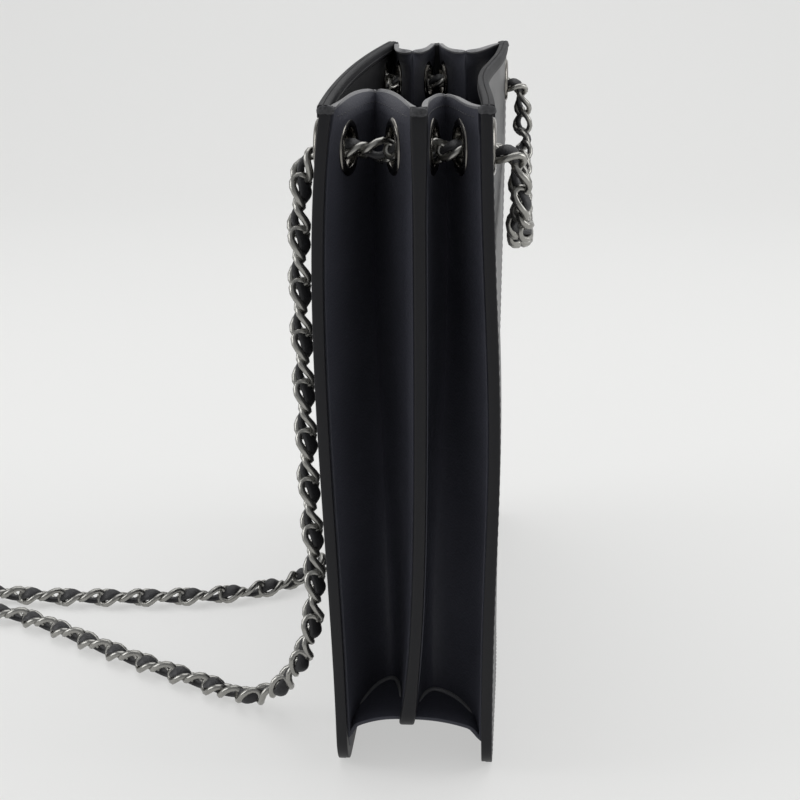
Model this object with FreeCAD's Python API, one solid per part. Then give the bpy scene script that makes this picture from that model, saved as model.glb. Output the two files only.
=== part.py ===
"""Chain shoulder bag: an open leather tote with accordion pleats and a chain threaded through eyelets.

Millimetres. X runs along the bag, Y from the front panel to the back panel, +Z is up, and the origin lies
on the floor under the middle of the bag. Each end has two pleats, joined at a middle ridge.
Pieces are built once, at the left end or on the back half, and mirrored to the other end and half.
"""
import FreeCAD, Part
import math
import os
from FreeCAD import Vector

# Outside of the bag
bag_length = 305.0
bag_height = 270.0
bag_depth = 63.0
corner_radius = 15.0

# Panel layers, from the outside in
panel_leather = 1.4
board_thickness = 0.5
lining_thickness = 0.8
glue_film = 0.05
rim_width = 5.0
board_clearance = 0.2

# Swell of the back panel: how far its control rows stand out, from the bottom corners to above the bag,
# and the share of that for the columns from the middle outwards, beyond which the panel is flat
swell_rows = [0.0, 0.0, 1.0, 2.0, 2.9, 3.7, 4.3, 4.7, 4.9, 4.5, 3.3, 1.6, 0.0]
swell_column_shares = [1.0, 1.0, 1.0, 0.95]
swell_gap = 2.0

# Folded strip over each panel's top edge
binding_thickness = 0.8
binding_height = 4.6
binding_round = 0.6

# Gusset edge sewn to the inside of each panel
seam_width = 5.0
seam_thickness = 1.5

# Accordion leaves at the ends
leaf_thickness = 1.6
leaf_width = 48.0
leaf_top_drop = 1.0
fold_width = 5.0
fold_clearance = 0.4
pivot_inset = 4.0
seat_gap = 0.35

# Pleats under the bag
base_seam_height = 4.0
base_valley_height = 33.0
mitre_seam_gap = 5.0
mitre_valley_gap = 3.5
mitre_end_gap = 0.5
base_fold_clearance = 0.7

# Middle ridge
ridge_width = 5.5
ridge_ground_gap = 17.0
ridge_top_drop = 1.5

# Eyelets and their washers
eyelet_diameter = 22.0
eyelet_bore = 15.0
eyelet_wall = 0.8
eyelet_rise = 1.2
eyelet_bore_rise = 0.5
eyelet_edge_gap = 8.5
eyelet_top_gap = 2.9
lip_width = 0.9
lip_thickness = 0.25
washer_setback = 0.5
washer_thickness = 0.5
hole_clearance = 0.15

# Chain, as the sleeve that its links fill and the ribbon woven through them
chain_width = 9.5
chain_wall = 0.75
ribbon_clearance = 0.15
chain_drop = 1.2
chain_joint_depth = 3.5
arc_run_share = 0.45

# Points of the chain between its exits, in the order front, left to right, then back, left to right
front_exit_points = [
    (-33.0, 0.0),
    (-40.5, -6.0),
    (-40.5, -15.5),
]
front_chain_points = [
    (-128.0, -40.5, 226.0),
    (-119.5, -40.8, 217.8),
    (-96.0, -40.6, 211.3),
    (-66.0, -40.3, 205.0),
    (-30.0, -40.6, 199.5),
    (10.0, -40.8, 197.5),
    (48.0, -40.5, 200.0),
    (84.0, -40.2, 206.5),
    (106.0, -40.5, 212.5),
    (119.5, -40.8, 218.0),
    (128.0, -40.5, 226.0),
]
shoulder_exit_points = [
    (37.0, 0.0),
    (42.4, -7.4),
]
shoulder_chain_points = [
    (-128.0, 44.0, 229.0),
    (-128.0, 44.6, 204.0),
    (-128.0, 44.2, 163.0),
    (-127.9, 43.6, 120.0),
    (-127.7, 42.2, 90.0),
    (-126.8, 42.0, 65.0),
    (-123.2, 45.6, 44.5),
    (-115.5, 53.8, 25.5),
    (-106.0, 65.5, 10.3),
    (-98.0, 82.0, 5.2),
    (-86.0, 100.0, 4.9),
    (-73.0, 123.0, 4.8),
    (-53.0, 154.0, 4.8),
    (-32.0, 182.0, 4.8),
    (-15.0, 210.0, 4.8),
    (-14.0, 239.0, 4.8),
    (-27.0, 267.0, 4.8),
    (-29.0, 298.0, 4.8),
    (-9.0, 322.0, 4.8),
    (21.0, 321.0, 4.8),
    (38.0, 296.0, 4.8),
    (31.0, 266.0, 4.8),
    (13.0, 242.0, 4.8),
    (5.5, 213.0, 4.8),
    (5.0, 176.0, 4.8),
    (7.0, 140.0, 4.8),
    (12.0, 106.0, 4.8),
    (28.0, 76.0, 4.8),
    (60.0, 60.0, 4.8),
    (87.0, 52.5, 6.0),
    (108.0, 48.0, 17.0),
    (121.0, 45.5, 40.0),
    (126.2, 44.0, 72.0),
    (127.8, 43.0, 112.0),
    (128.0, 42.6, 156.0),
    (128.0, 43.4, 200.0),
    (128.0, 43.2, 228.0),
]

# Sizes that follow from those above
half_length = bag_length / 2
half_depth = bag_depth / 2
panel_thickness = panel_leather + board_thickness + lining_thickness + 2 * glue_film
panel_inside = half_depth - panel_thickness
panel_top = bag_height - binding_thickness
binding_bottom = bag_height - binding_height
leaf_seat = seat_gap + leaf_thickness / 2
leaf_top = bag_height - leaf_top_drop

panel_pivot_y = panel_inside - seam_thickness - leaf_seat
ridge_pivot_y = ridge_width / 2 + leaf_seat
leaf_reach = (panel_pivot_y - ridge_pivot_y - fold_width) / 2
leaf_angle = math.asin(leaf_reach / leaf_width)
pivot_x = -half_length + pivot_inset
valley_x = pivot_x + leaf_width * math.cos(leaf_angle)
outer_valley_y = panel_pivot_y - leaf_reach
inner_valley_y = ridge_pivot_y + leaf_reach

ridge_base_pivot = ridge_ground_gap + pivot_inset
outer_base_rise = base_valley_height - base_seam_height
inner_base_rise = base_valley_height - ridge_base_pivot
outer_base_angle = math.atan2(leaf_reach, outer_base_rise)
inner_base_angle = math.atan2(leaf_reach, inner_base_rise)

ridge_reach = seam_width
eyelet_inset = seam_width + eyelet_edge_gap + eyelet_diameter / 2
eyelet_x = -half_length + eyelet_inset
eyelet_z = binding_bottom - eyelet_top_gap - eyelet_diameter / 2
eyelet_along_leaf = (eyelet_inset - pivot_inset) / math.cos(leaf_angle)
barrel_radius = eyelet_bore / 2 + eyelet_wall
washer_radius = eyelet_diameter / 2 - washer_setback
swell_column_pitch = (half_length - eyelet_inset - eyelet_diameter / 2 - swell_gap) / 5
swell_row_pitch = (bag_height - corner_radius) / 10
chain_z = eyelet_z - chain_drop
chain_joint_y = half_depth - chain_joint_depth
chain_inside = chain_width - 2 * chain_wall
ribbon_width = chain_inside - 2 * ribbon_clearance

# How far a panel moves for each radian that a leaf turns
side_travel_per_radian = 2 * leaf_width * math.cos(leaf_angle)
base_travel_per_radian = outer_base_rise + inner_base_rise


def box(low, high):
    """A block between two opposite corners."""
    size = [b - a for a, b in zip(low, high)]
    return Part.makeBox(size[0], size[1], size[2], Vector(*low))


def polygon_plate(points, thickness):
    """A plate with an outline in the XZ plane, its thickness centred on that plane."""
    corners = [Vector(x, -thickness / 2, z) for x, z in points]
    face = Part.Face(Part.makePolygon(corners + corners[:1]))
    return face.extrude(Vector(0, thickness, 0))


def tube(outer_radius, inner_radius, low, high):
    """A ring about the Z axis between two heights."""
    foot = Vector(0, 0, low)
    outer = Part.makeCylinder(outer_radius, high - low, foot)
    return outer.cut(Part.makeCylinder(inner_radius, high - low, foot))


def panel_plate(outer_y, thickness, top, inset=0.0):
    """A layer of the back panel: square at the top, with two round bottom corners."""
    side = half_length - inset
    bottom = inset
    radius = corner_radius - inset
    slant = radius * math.sqrt(0.5)

    def point(x, z):
        return Vector(x, outer_y - thickness, z)

    left_arc = Part.Arc(
        point(-side, bottom + radius),
        point(-side + radius - slant, bottom + radius - slant),
        point(-side + radius, bottom),
    )
    right_arc = Part.Arc(
        point(side - radius, bottom),
        point(side - radius + slant, bottom + radius - slant),
        point(side, bottom + radius),
    )
    edges = [
        left_arc.toShape(),
        Part.makeLine(point(-side + radius, bottom), point(side - radius, bottom)),
        right_arc.toShape(),
        Part.makeLine(point(side, bottom + radius), point(side, top)),
        Part.makeLine(point(side, top), point(-side, top)),
        Part.makeLine(point(-side, top), point(-side, bottom + radius)),
    ]
    return Part.Face(Part.Wire(edges)).extrude(Vector(0, thickness, 0))


def swollen_sheet(outer_y, thickness):
    """A sheet that swells out between the back panel's eyelets and is flat round them and at its edges."""
    margin = 2 * binding_thickness
    ends = math.ceil((half_length + margin) / swell_column_pitch)
    below = math.ceil((corner_radius + margin) / swell_row_pitch)
    half_columns = swell_column_shares + [0.0] * (ends + 1 - len(swell_column_shares))
    columns = half_columns[:0:-1] + half_columns
    rows = [0.0] * below + swell_rows
    poles = []
    for i, share in enumerate(columns):
        x = (i - ends) * swell_column_pitch
        poles.append([
            Vector(x, outer_y - thickness + share * reach, corner_radius + (j - below) * swell_row_pitch)
            for j, reach in enumerate(rows)
        ])

    def knots(count):
        return [4] + [1] * (count - 4) + [4], list(range(count - 2))

    across, across_knots = knots(len(columns))
    up, up_knots = knots(len(rows))
    face = Part.BSplineSurface()
    face.buildFromPolesMultsKnots(poles, across, up, across_knots, up_knots, False, False, 3, 3)
    left, bottom = face.parameter(Vector(-half_length - margin, outer_y, -margin))
    right, top = face.parameter(Vector(half_length + margin, outer_y, bag_height + margin))
    face.segment(left, right, bottom, top)
    return face.toShape().extrude(Vector(0, thickness, 0))


def panel_layer(swollen, outer_y, thickness, top, inset=0.0):
    """A layer of a panel, flat or with the back panel's swell."""
    if not swollen:
        return panel_plate(outer_y, thickness, top, inset)
    return swollen_sheet(outer_y, thickness).common(panel_plate(bag_depth, bag_depth, top, inset))


def drill_panel(plate):
    """Cuts the two eyelet holes through a layer of the back panel."""
    radius = barrel_radius + hole_clearance
    for x in (eyelet_x, -eyelet_x):
        foot = Vector(x, 0, eyelet_z)
        plate = plate.cut(Part.makeCylinder(radius, bag_depth, foot, Vector(0, 1, 0)))
    return plate


def panel_leather_tray(swollen):
    """Outer leather, with a rim round the stiffening board."""
    depth = panel_leather + glue_film + board_thickness
    plate = panel_layer(swollen, half_depth, depth, panel_top)
    pocket = panel_layer(swollen, half_depth - panel_leather, depth, panel_top - rim_width, rim_width)
    return drill_panel(plate.cut(pocket))


def panel_board(swollen):
    """Stiffening board inside the rim."""
    inset = rim_width + board_clearance
    outer_y = half_depth - panel_leather - glue_film
    return drill_panel(panel_layer(swollen, outer_y, board_thickness, panel_top - inset, inset))


def panel_lining(swollen):
    """Inside layer, over the board and the rim."""
    outer_y = panel_inside + lining_thickness
    return drill_panel(panel_layer(swollen, outer_y, lining_thickness, panel_top))


def top_bar(swollen, low_y, high_y, end_x, top):
    """A bar along the panel's top edge, straight or bent to the back panel's swell."""
    if not swollen:
        return box((-end_x, low_y, binding_bottom), (end_x, high_y, top))
    room = box((-end_x, 0, binding_bottom), (end_x, bag_depth, top))
    return swollen_sheet(high_y, high_y - low_y).common(room)


def top_binding(swollen):
    """Strip folded over the panel's top edge, with rounded shoulders."""
    low_y = panel_inside - binding_thickness
    high_y = half_depth + binding_thickness
    strip = top_bar(swollen, low_y, high_y, half_length, bag_height)
    shoulders = [
        edge
        for edge in strip.Edges
        if edge.BoundBox.ZMin > panel_top and edge.BoundBox.XLength > bag_depth
    ]
    strip = strip.makeFillet(binding_round, shoulders)
    slot_end = half_length + binding_thickness
    return strip.cut(top_bar(swollen, panel_inside - glue_film, half_depth + glue_film, slot_end, panel_top))


def seam_margin():
    """Edge of the gusset strip, sewn down the panel's flat sides and along its bottom."""
    top = binding_bottom - seat_gap
    strip = panel_plate(panel_inside, seam_thickness, top)
    return strip.cut(panel_plate(panel_inside, seam_thickness, top, seam_width))


def set_side_leaf(shape, outer):
    """Turns a piece built along a flat leaf to the leaf's place in the left back pleat."""
    placed = shape.copy()
    angle = math.degrees(leaf_angle)
    placed.rotate(Vector(0, 0, 0), Vector(0, 0, 1), -angle if outer else angle)
    placed.translate(Vector(pivot_x, panel_pivot_y if outer else ridge_pivot_y, 0))
    return placed


def side_leaf(outer):
    """Half of an end pleat. The outer half carries the fold at the bottom of the valley."""
    seam_foot = (base_seam_height if outer else ridge_base_pivot) + mitre_seam_gap
    valley_foot = base_valley_height + mitre_valley_gap
    outline = [(0, seam_foot), (leaf_width, valley_foot), (leaf_width, leaf_top), (0, leaf_top)]
    plate = polygon_plate(outline, leaf_thickness)
    foot = Vector(eyelet_along_leaf, -leaf_thickness, eyelet_z)
    hole_radius = barrel_radius + hole_clearance
    plate = plate.cut(Part.makeCylinder(hole_radius, 2 * leaf_thickness, foot, Vector(0, 1, 0)))
    leaf = set_side_leaf(plate, outer)
    if outer:
        fold_edge = inner_valley_y + leaf_thickness / 2 + fold_clearance
        low = (valley_x - leaf_thickness, fold_edge, valley_foot)
        leaf = leaf.fuse(box(low, (valley_x, outer_valley_y, leaf_top))).removeSplitter()
    return leaf


def base_leaf(outer):
    """Half of a pleat under the bag, with mitred ends. The outer half carries the fold."""
    rise = outer_base_rise if outer else inner_base_rise
    width = math.hypot(rise, leaf_reach)
    seam_end = half_length - pivot_inset - mitre_seam_gap
    valley_end = -valley_x - mitre_end_gap
    outline = [(-seam_end, 0), (seam_end, 0), (valley_end, width), (-valley_end, width)]
    leaf = polygon_plate(outline, leaf_thickness)
    angle = math.degrees(outer_base_angle if outer else -inner_base_angle)
    leaf.rotate(Vector(0, 0, 0), Vector(1, 0, 0), angle)
    if outer:
        leaf.translate(Vector(0, panel_pivot_y, base_seam_height))
        fold_edge = inner_valley_y + leaf_thickness / 2 + base_fold_clearance
        low = (-valley_end, fold_edge, base_valley_height - leaf_thickness)
        high = (valley_end, outer_valley_y, base_valley_height)
        leaf = leaf.fuse(box(low, high)).removeSplitter()
    else:
        leaf.translate(Vector(0, ridge_pivot_y, ridge_base_pivot))
    return leaf


def end_ridge():
    """Painted seam down the middle of the left end, rounded where it turns under the bag."""
    low = (-half_length, -ridge_width / 2, ridge_ground_gap)
    high = (-half_length + ridge_reach, ridge_width / 2, bag_height - ridge_top_drop)
    bar = box(low, high)
    keep = Part.makeCylinder(
        ridge_reach,
        ridge_width,
        Vector(high[0], low[1], ridge_ground_gap + ridge_reach),
        Vector(0, 1, 0),
    )
    corner = box(low, (high[0], high[1], ridge_ground_gap + ridge_reach))
    return bar.cut(corner.cut(keep))


def base_ridge():
    """The same seam along the bottom, between the two end ridges."""
    end = half_length - ridge_reach
    low = (-end, -ridge_width / 2, ridge_ground_gap)
    return box(low, (end, ridge_width / 2, ridge_ground_gap + ridge_reach))


def eyelet(wall):
    """A turned eyelet about Z: rounded flange above zero, barrel and lip through the wall below."""
    bore = eyelet_bore / 2
    flange = eyelet_diameter / 2
    lip_top = -(wall + washer_thickness)
    lip_bottom = lip_top - lip_thickness
    lip_radius = barrel_radius + lip_width

    def point(radius, height):
        return Vector(radius, 0, height)

    crown = Part.Arc(
        point(flange, 0),
        point((flange + bore) / 2, eyelet_rise),
        point(bore, eyelet_bore_rise),
    )
    corners = [
        point(bore, eyelet_bore_rise),
        point(bore, lip_bottom),
        point(lip_radius, lip_bottom),
        point(lip_radius, lip_top),
        point(barrel_radius, lip_top),
        point(barrel_radius, 0),
        point(flange, 0),
    ]
    edges = [Part.makeLine(a, b) for a, b in zip(corners, corners[1:])]
    profile = Part.Face(Part.Wire([crown.toShape()] + edges))
    return profile.revolve(Vector(0, 0, 0), Vector(0, 0, 1), 360)


def washer(wall):
    """Flat ring that the eyelet's lip holds against the inside of the wall."""
    inner = barrel_radius + hole_clearance
    return tube(washer_radius, inner, -(wall + washer_thickness), -wall)


def on_panel(make):
    """A ring pair on the back panel: one near each end, facing out."""
    rings = []
    for x in (eyelet_x, -eyelet_x):
        ring = make(panel_thickness)
        ring.rotate(Vector(0, 0, 0), Vector(1, 0, 0), -90)
        ring.translate(Vector(x, half_depth, eyelet_z))
        rings.append(ring)
    return Part.makeCompound(rings)


def on_leaf(make, outer):
    """A ring on a leaf of the left back pleat, facing into the open side of the pleat."""
    ring = make(leaf_thickness)
    ring.rotate(Vector(0, 0, 0), Vector(1, 0, 0), 90 if outer else -90)
    face = -leaf_thickness / 2 if outer else leaf_thickness / 2
    ring.translate(Vector(eyelet_along_leaf, face, eyelet_z))
    return set_side_leaf(ring, outer)


def chain_path(name, points):
    """A wire of straight runs that are joined by arcs as large as the runs allow."""
    stops = [Vector(*p) for p in points]
    edges = []
    radii = []
    here = stops[0]
    for before, corner, after in zip(stops, stops[1:], stops[2:]):
        into = corner - before
        out = after - corner
        cut = arc_run_share * min(into.Length, out.Length)
        turn = into.getAngle(out)
        radius = cut / math.tan(turn / 2)
        into.normalize()
        out.normalize()
        start = corner - into * cut
        end = corner + out * cut
        bisector = out - into
        bisector.normalize()
        middle = corner + bisector * (radius / math.cos(turn / 2) - radius)
        edges.append(Part.LineSegment(here, start).toShape())
        edges.append(Part.Arc(start, middle, end).toShape())
        radii.append(radius)
        here = end
    edges.append(Part.LineSegment(here, stops[-1]).toShape())
    print(name, "radii", [round(r, 1) for r in radii])
    return Part.Wire(edges)


def rod(path, diameter):
    """A round solid along a path."""
    start = path.Edges[0]
    heading = start.tangentAt(start.FirstParameter)
    section = Part.Wire(Part.makeCircle(diameter / 2, start.Vertexes[0].Point, heading))
    solid = path.makePipeShell([section], True, False)
    expected = math.pi * diameter ** 2 / 4 * path.Length
    print("  length", round(path.Length, 1), "volume ratio", round(solid.Volume / expected, 4))
    return solid


def threaded_chain(x):
    """Straight stretch through one end's eyelets, turned down where it leaves the front panel."""
    exits = [(x, y, chain_z + z) for y, z in front_exit_points]
    return [(x, chain_joint_y, chain_z)] + exits


def front_chain():
    """Swag between the two front exits."""
    y, z = front_exit_points[-1]
    start = (eyelet_x, y, chain_z + z)
    end = (-eyelet_x, y, chain_z + z)
    return [start] + front_chain_points + [end]


def shoulder_chain():
    """Long stretch from the left back eyelet down to the floor, round its loop and up to the right one."""
    left = [(eyelet_x, y, chain_z + z) for y, z in shoulder_exit_points]
    right = [(-eyelet_x, y, chain_z + z) for y, z in reversed(shoulder_exit_points)]
    start = (eyelet_x, chain_joint_y, chain_z)
    end = (-eyelet_x, chain_joint_y, chain_z)
    return [start] + left + shoulder_chain_points + right + [end]


def mirrored(shape, end, side):
    """Takes a piece from the left back of the bag to the named end and side."""
    if end == "right":
        shape = shape.mirror(Vector(0, 0, 0), Vector(1, 0, 0))
    if side == "front":
        shape = shape.mirror(Vector(0, 0, 0), Vector(0, 1, 0))
    return shape


def panel_pieces():
    """The layers, trim and eyelets of both panels."""
    makers = {
        "panel": panel_leather_tray,
        "stiffener": panel_board,
        "lining": panel_lining,
        "top_binding": top_binding,
    }
    pieces = {}
    for side in ("front", "back"):
        for name, make in makers.items():
            pieces[side + "_" + name] = mirrored(make(side == "back"), "left", side)
        pieces[side + "_seam_margin"] = mirrored(seam_margin(), "left", side)
        pieces[side + "_panel_eyelets"] = mirrored(on_panel(eyelet), "left", side)
        pieces[side + "_panel_washers"] = mirrored(on_panel(washer), "left", side)
    return pieces


def pleat_pieces():
    """The leaves of the end pleats with their eyelets, and the leaves under the bag."""
    pieces = {}
    for side in ("front", "back"):
        for half in ("outer", "inner"):
            outer = half == "outer"
            for end in ("left", "right"):
                name = "_".join((end, side, half))
                pieces[name + "_leaf"] = mirrored(side_leaf(outer), end, side)
                pieces[name + "_eyelet"] = mirrored(on_leaf(eyelet, outer), end, side)
                pieces[name + "_washer"] = mirrored(on_leaf(washer, outer), end, side)
            pieces[side + "_base_" + half + "_leaf"] = mirrored(base_leaf(outer), "left", side)
    return pieces


def ridge_pieces():
    """The painted middle seam, in three lengths."""
    return {
        "left_ridge": end_ridge(),
        "right_ridge": mirrored(end_ridge(), "right", "back"),
        "base_ridge": base_ridge(),
    }


def chain_pieces():
    """The links and the ribbon of the chain, in four stretches."""
    routes = {
        "left_threaded": threaded_chain(eyelet_x),
        "right_threaded": threaded_chain(-eyelet_x),
        "front": front_chain(),
        "shoulder": shoulder_chain(),
    }
    pieces = {}
    for name, route in routes.items():
        path = chain_path(name, route)
        pieces[name + "_chain"] = rod(path, chain_width).cut(rod(path, chain_inside))
        pieces[name + "_ribbon"] = rod(path, ribbon_width)
    return pieces


print("panel travel per radian of a side leaf", round(side_travel_per_radian, 2))
print("panel travel per radian of a base leaf", round(base_travel_per_radian, 2))
os.makedirs("parts", exist_ok=True)
for group in (panel_pieces(), pleat_pieces(), ridge_pieces(), chain_pieces()):
    for node, shape in group.items():
        shape.exportStep("parts/" + node + ".step")
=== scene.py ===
import bpy
import bmesh
import math
from mathutils import Matrix, Vector


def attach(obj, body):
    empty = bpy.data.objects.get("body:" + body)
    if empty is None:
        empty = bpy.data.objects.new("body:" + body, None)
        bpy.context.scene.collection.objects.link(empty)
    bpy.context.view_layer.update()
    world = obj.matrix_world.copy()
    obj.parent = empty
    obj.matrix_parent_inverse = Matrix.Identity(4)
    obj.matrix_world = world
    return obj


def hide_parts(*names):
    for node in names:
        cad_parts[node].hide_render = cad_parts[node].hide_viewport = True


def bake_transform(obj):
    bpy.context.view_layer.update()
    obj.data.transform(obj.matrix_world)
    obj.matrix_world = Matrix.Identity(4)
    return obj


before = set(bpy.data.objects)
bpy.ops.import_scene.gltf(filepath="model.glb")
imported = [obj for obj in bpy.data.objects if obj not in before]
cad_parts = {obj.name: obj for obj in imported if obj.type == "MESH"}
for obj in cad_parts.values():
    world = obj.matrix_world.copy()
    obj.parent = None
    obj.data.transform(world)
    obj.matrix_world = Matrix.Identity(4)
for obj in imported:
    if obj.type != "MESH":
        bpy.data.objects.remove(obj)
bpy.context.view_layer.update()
bpy.context.scene.view_settings.view_transform = "Standard"

# Front and back panels: one large piece of black calf leather each, with rounded bottom corners.
# The leather is turned round the rim, where it is thicker, and the cut edges are painted dark grey.
# Use has bent them: the back panel bows out, and the top of the front one has sunk in.
half_length = 0.1525
half_depth = 0.0315
bag_height = 0.270
corner_radius = 0.015
panel_top = 0.2692
panel_thickness = 0.0028
rim_width = 0.005
cut_round = 0.0004
eyelet_x = 0.128
eyelet_z = 0.2515
hole_radius = 0.00845
punch_depth = 0.012
back_belly = 0.0053
belly_fade = 0.0012
belly_peak = 0.1746
back_bow = 0.005
front_sink = 0.0063
sink_x = -0.035
sink_width = 0.085
front_bulge = 0.00275
bulge_x = -0.13
bulge_fade = 0.22
bulge_z = 0.143
bulge_height = 0.068
front_draw = 0.0035
draw_x = -0.08
draw_fade = 0.20
draw_z = 0.02
draw_height = 0.25
sides = {"back": 1, "front": -1}


def ease(share):
    share = max(0.0, min(1.0, share))
    return share * share * (3 - 2 * share)


def panel_face(side, x, z):
    """Y of a panel's outer face."""
    along = x / half_length
    up = max(0.0, min(1.0, z / bag_height))
    if side > 0:
        belly = back_belly - belly_fade * (1 + along)
        swell = belly * up ** 2 * (1 - up) ** 0.857 / belly_peak
        return half_depth + swell + back_bow * (1 - along ** 2) * up ** 1.2
    sunk = front_sink * math.exp(-((x - sink_x) / sink_width) ** 2) * up ** 3.5
    bulge = front_bulge * math.exp(-((z - bulge_z) / bulge_height) ** 2)
    bulge *= 1 - ease((x - bulge_x) / bulge_fade)
    drawn_in = front_draw * ease((x - draw_x) / draw_fade) * (1 - ease((z - draw_z) / draw_height))
    return -half_depth - bulge + sunk + drawn_in


def half_width(z, inset=0.0):
    """Half the length of a panel at a height, which the bottom corners narrow."""
    below = max(0.0, corner_radius - z)
    return half_length - inset - corner_radius + math.sqrt(corner_radius ** 2 - below ** 2)


def spread(start, end, count):
    return [start + (end - start) * i / (count - 1) for i in range(count)]


def laid_grid(name, columns, rows, place):
    """A grid whose points are put where place(column, row) says."""
    bpy.ops.object.select_all(action="DESELECT")
    bpy.ops.mesh.primitive_grid_add(x_subdivisions=len(columns) - 1, y_subdivisions=len(rows) - 1, size=2)
    sheet = bpy.context.object
    sheet.name = name
    sheet.data.name = name
    for point in sheet.data.vertices:
        i = round((point.co.x + 1) / 2 * (len(columns) - 1))
        j = round((point.co.y + 1) / 2 * (len(rows) - 1))
        point.co = place(columns[i], rows[j])
    return sheet


def choose(piece):
    """Selects one piece alone and makes it active."""
    bpy.ops.object.select_all(action="DESELECT")
    piece.select_set(True)
    bpy.context.view_layer.objects.active = piece


def apply_modifier(piece, modifier):
    bpy.context.view_layer.objects.active = piece
    bpy.ops.object.modifier_apply(modifier=modifier.name)


def close_up(piece, doubles=0.0, fill_ends=False):
    """Merges doubled points, fills a tube's open ends and turns the faces outwards."""
    choose(piece)
    bpy.ops.object.mode_set(mode="EDIT")
    bpy.ops.mesh.select_all(action="SELECT")
    if doubles:
        bpy.ops.mesh.remove_doubles(threshold=doubles)
    if fill_ends:
        bpy.ops.mesh.select_all(action="DESELECT")
        bpy.ops.mesh.select_mode(type="EDGE")
        bpy.ops.mesh.select_non_manifold()
        bpy.ops.mesh.edge_face_add()
        bpy.ops.mesh.select_all(action="SELECT")
    bpy.ops.mesh.normals_make_consistent(inside=False)
    bpy.ops.object.mode_set(mode="OBJECT")


def thicken(sheet, thickness, offset, round_edge, thick_here=None, thin_share=1.0, even=True):
    """Gives a sheet its thickness, thinner where thick_here(point) is no, and rounds its cut edges."""
    wall = sheet.modifiers.new("thickness", "SOLIDIFY")
    wall.thickness = thickness
    wall.offset = offset
    wall.use_even_offset = even
    if thick_here:
        group = sheet.vertex_groups.new(name="turned")
        group.add([p.index for p in sheet.data.vertices if thick_here(p.co)], 1.0, "REPLACE")
        wall.vertex_group = group.name
        wall.thickness_vertex_group = thin_share
    apply_modifier(sheet, wall)
    bevel = sheet.modifiers.new("rounded edge", "BEVEL")
    bevel.width = round_edge
    bevel.segments = 3
    bevel.limit_method = "ANGLE"
    bevel.angle_limit = math.radians(50)
    apply_modifier(sheet, bevel)
    close_up(sheet)
    bpy.ops.object.shade_smooth_by_angle(angle=math.radians(45))


def punch(sheet, centre, direction):
    """Punches the hole that an eyelet goes through."""
    bpy.ops.object.select_all(action="DESELECT")
    bpy.ops.mesh.primitive_cylinder_add(vertices=48, radius=hole_radius, depth=punch_depth, location=centre)
    cutter = bpy.context.object
    cutter.rotation_mode = "QUATERNION"
    cutter.rotation_quaternion = direction.to_track_quat("Z", "Y")
    hole = sheet.modifiers.new("punched hole", "BOOLEAN")
    hole.object = cutter
    hole.operation = "DIFFERENCE"
    hole.solver = "EXACT"
    apply_modifier(sheet, hole)
    bpy.data.objects.remove(cutter)


def node(tree, kind, **values):
    made = tree.nodes.new(kind)
    for name, value in values.items():
        setattr(made, name, value)
    return made


def pattern_group(name, control):
    """Starts a pattern that takes one control, and puts out a height and a shade."""
    group = bpy.data.node_groups.new(name, "ShaderNodeTree")
    group.interface.new_socket(control, in_out="INPUT", socket_type="NodeSocketFloat")
    for output in ("Height", "Shade"):
        group.interface.new_socket(output, in_out="OUTPUT", socket_type="NodeSocketFloat")
    return group, node(group, "NodeGroupInput").outputs[control], node(group, "NodeGroupOutput").inputs


def texture(group, kind, scale, **settings):
    """A texture on the piece's own coordinates, whose scale is a number or the pattern's control."""
    made = node(group, f"ShaderNodeTex{kind}")
    place = node(group, "ShaderNodeTexCoord")
    group.links.new(place.outputs["Object"], made.inputs["Vector"])
    if isinstance(scale, bpy.types.NodeSocket):
        group.links.new(scale, made.inputs["Scale"])
    else:
        made.inputs["Scale"].default_value = scale
    for name, value in settings.items():
        made.inputs[name].default_value = value
    return made


def leather_grain_group():
    """Fine pebbled grain with soft creases, and slow patches of shade."""
    group, cell_scale, puts_out = pattern_group("leather_grain", "Cells")
    cells = texture(group, "Voronoi", cell_scale)
    cells.feature = "SMOOTH_F1"
    creases = texture(group, "Noise", 160, Detail=6, Distortion=0.6)
    both = node(group, "ShaderNodeMath", operation="MULTIPLY_ADD")
    both.inputs[1].default_value = 0.8
    group.links.new(creases.outputs["Fac"], both.inputs[0])
    group.links.new(cells.outputs["Distance"], both.inputs[2])
    group.links.new(both.outputs[0], puts_out["Height"])
    patches = texture(group, "Noise", 28, Detail=4)
    group.links.new(patches.outputs["Fac"], puts_out["Shade"])
    return group


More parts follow.
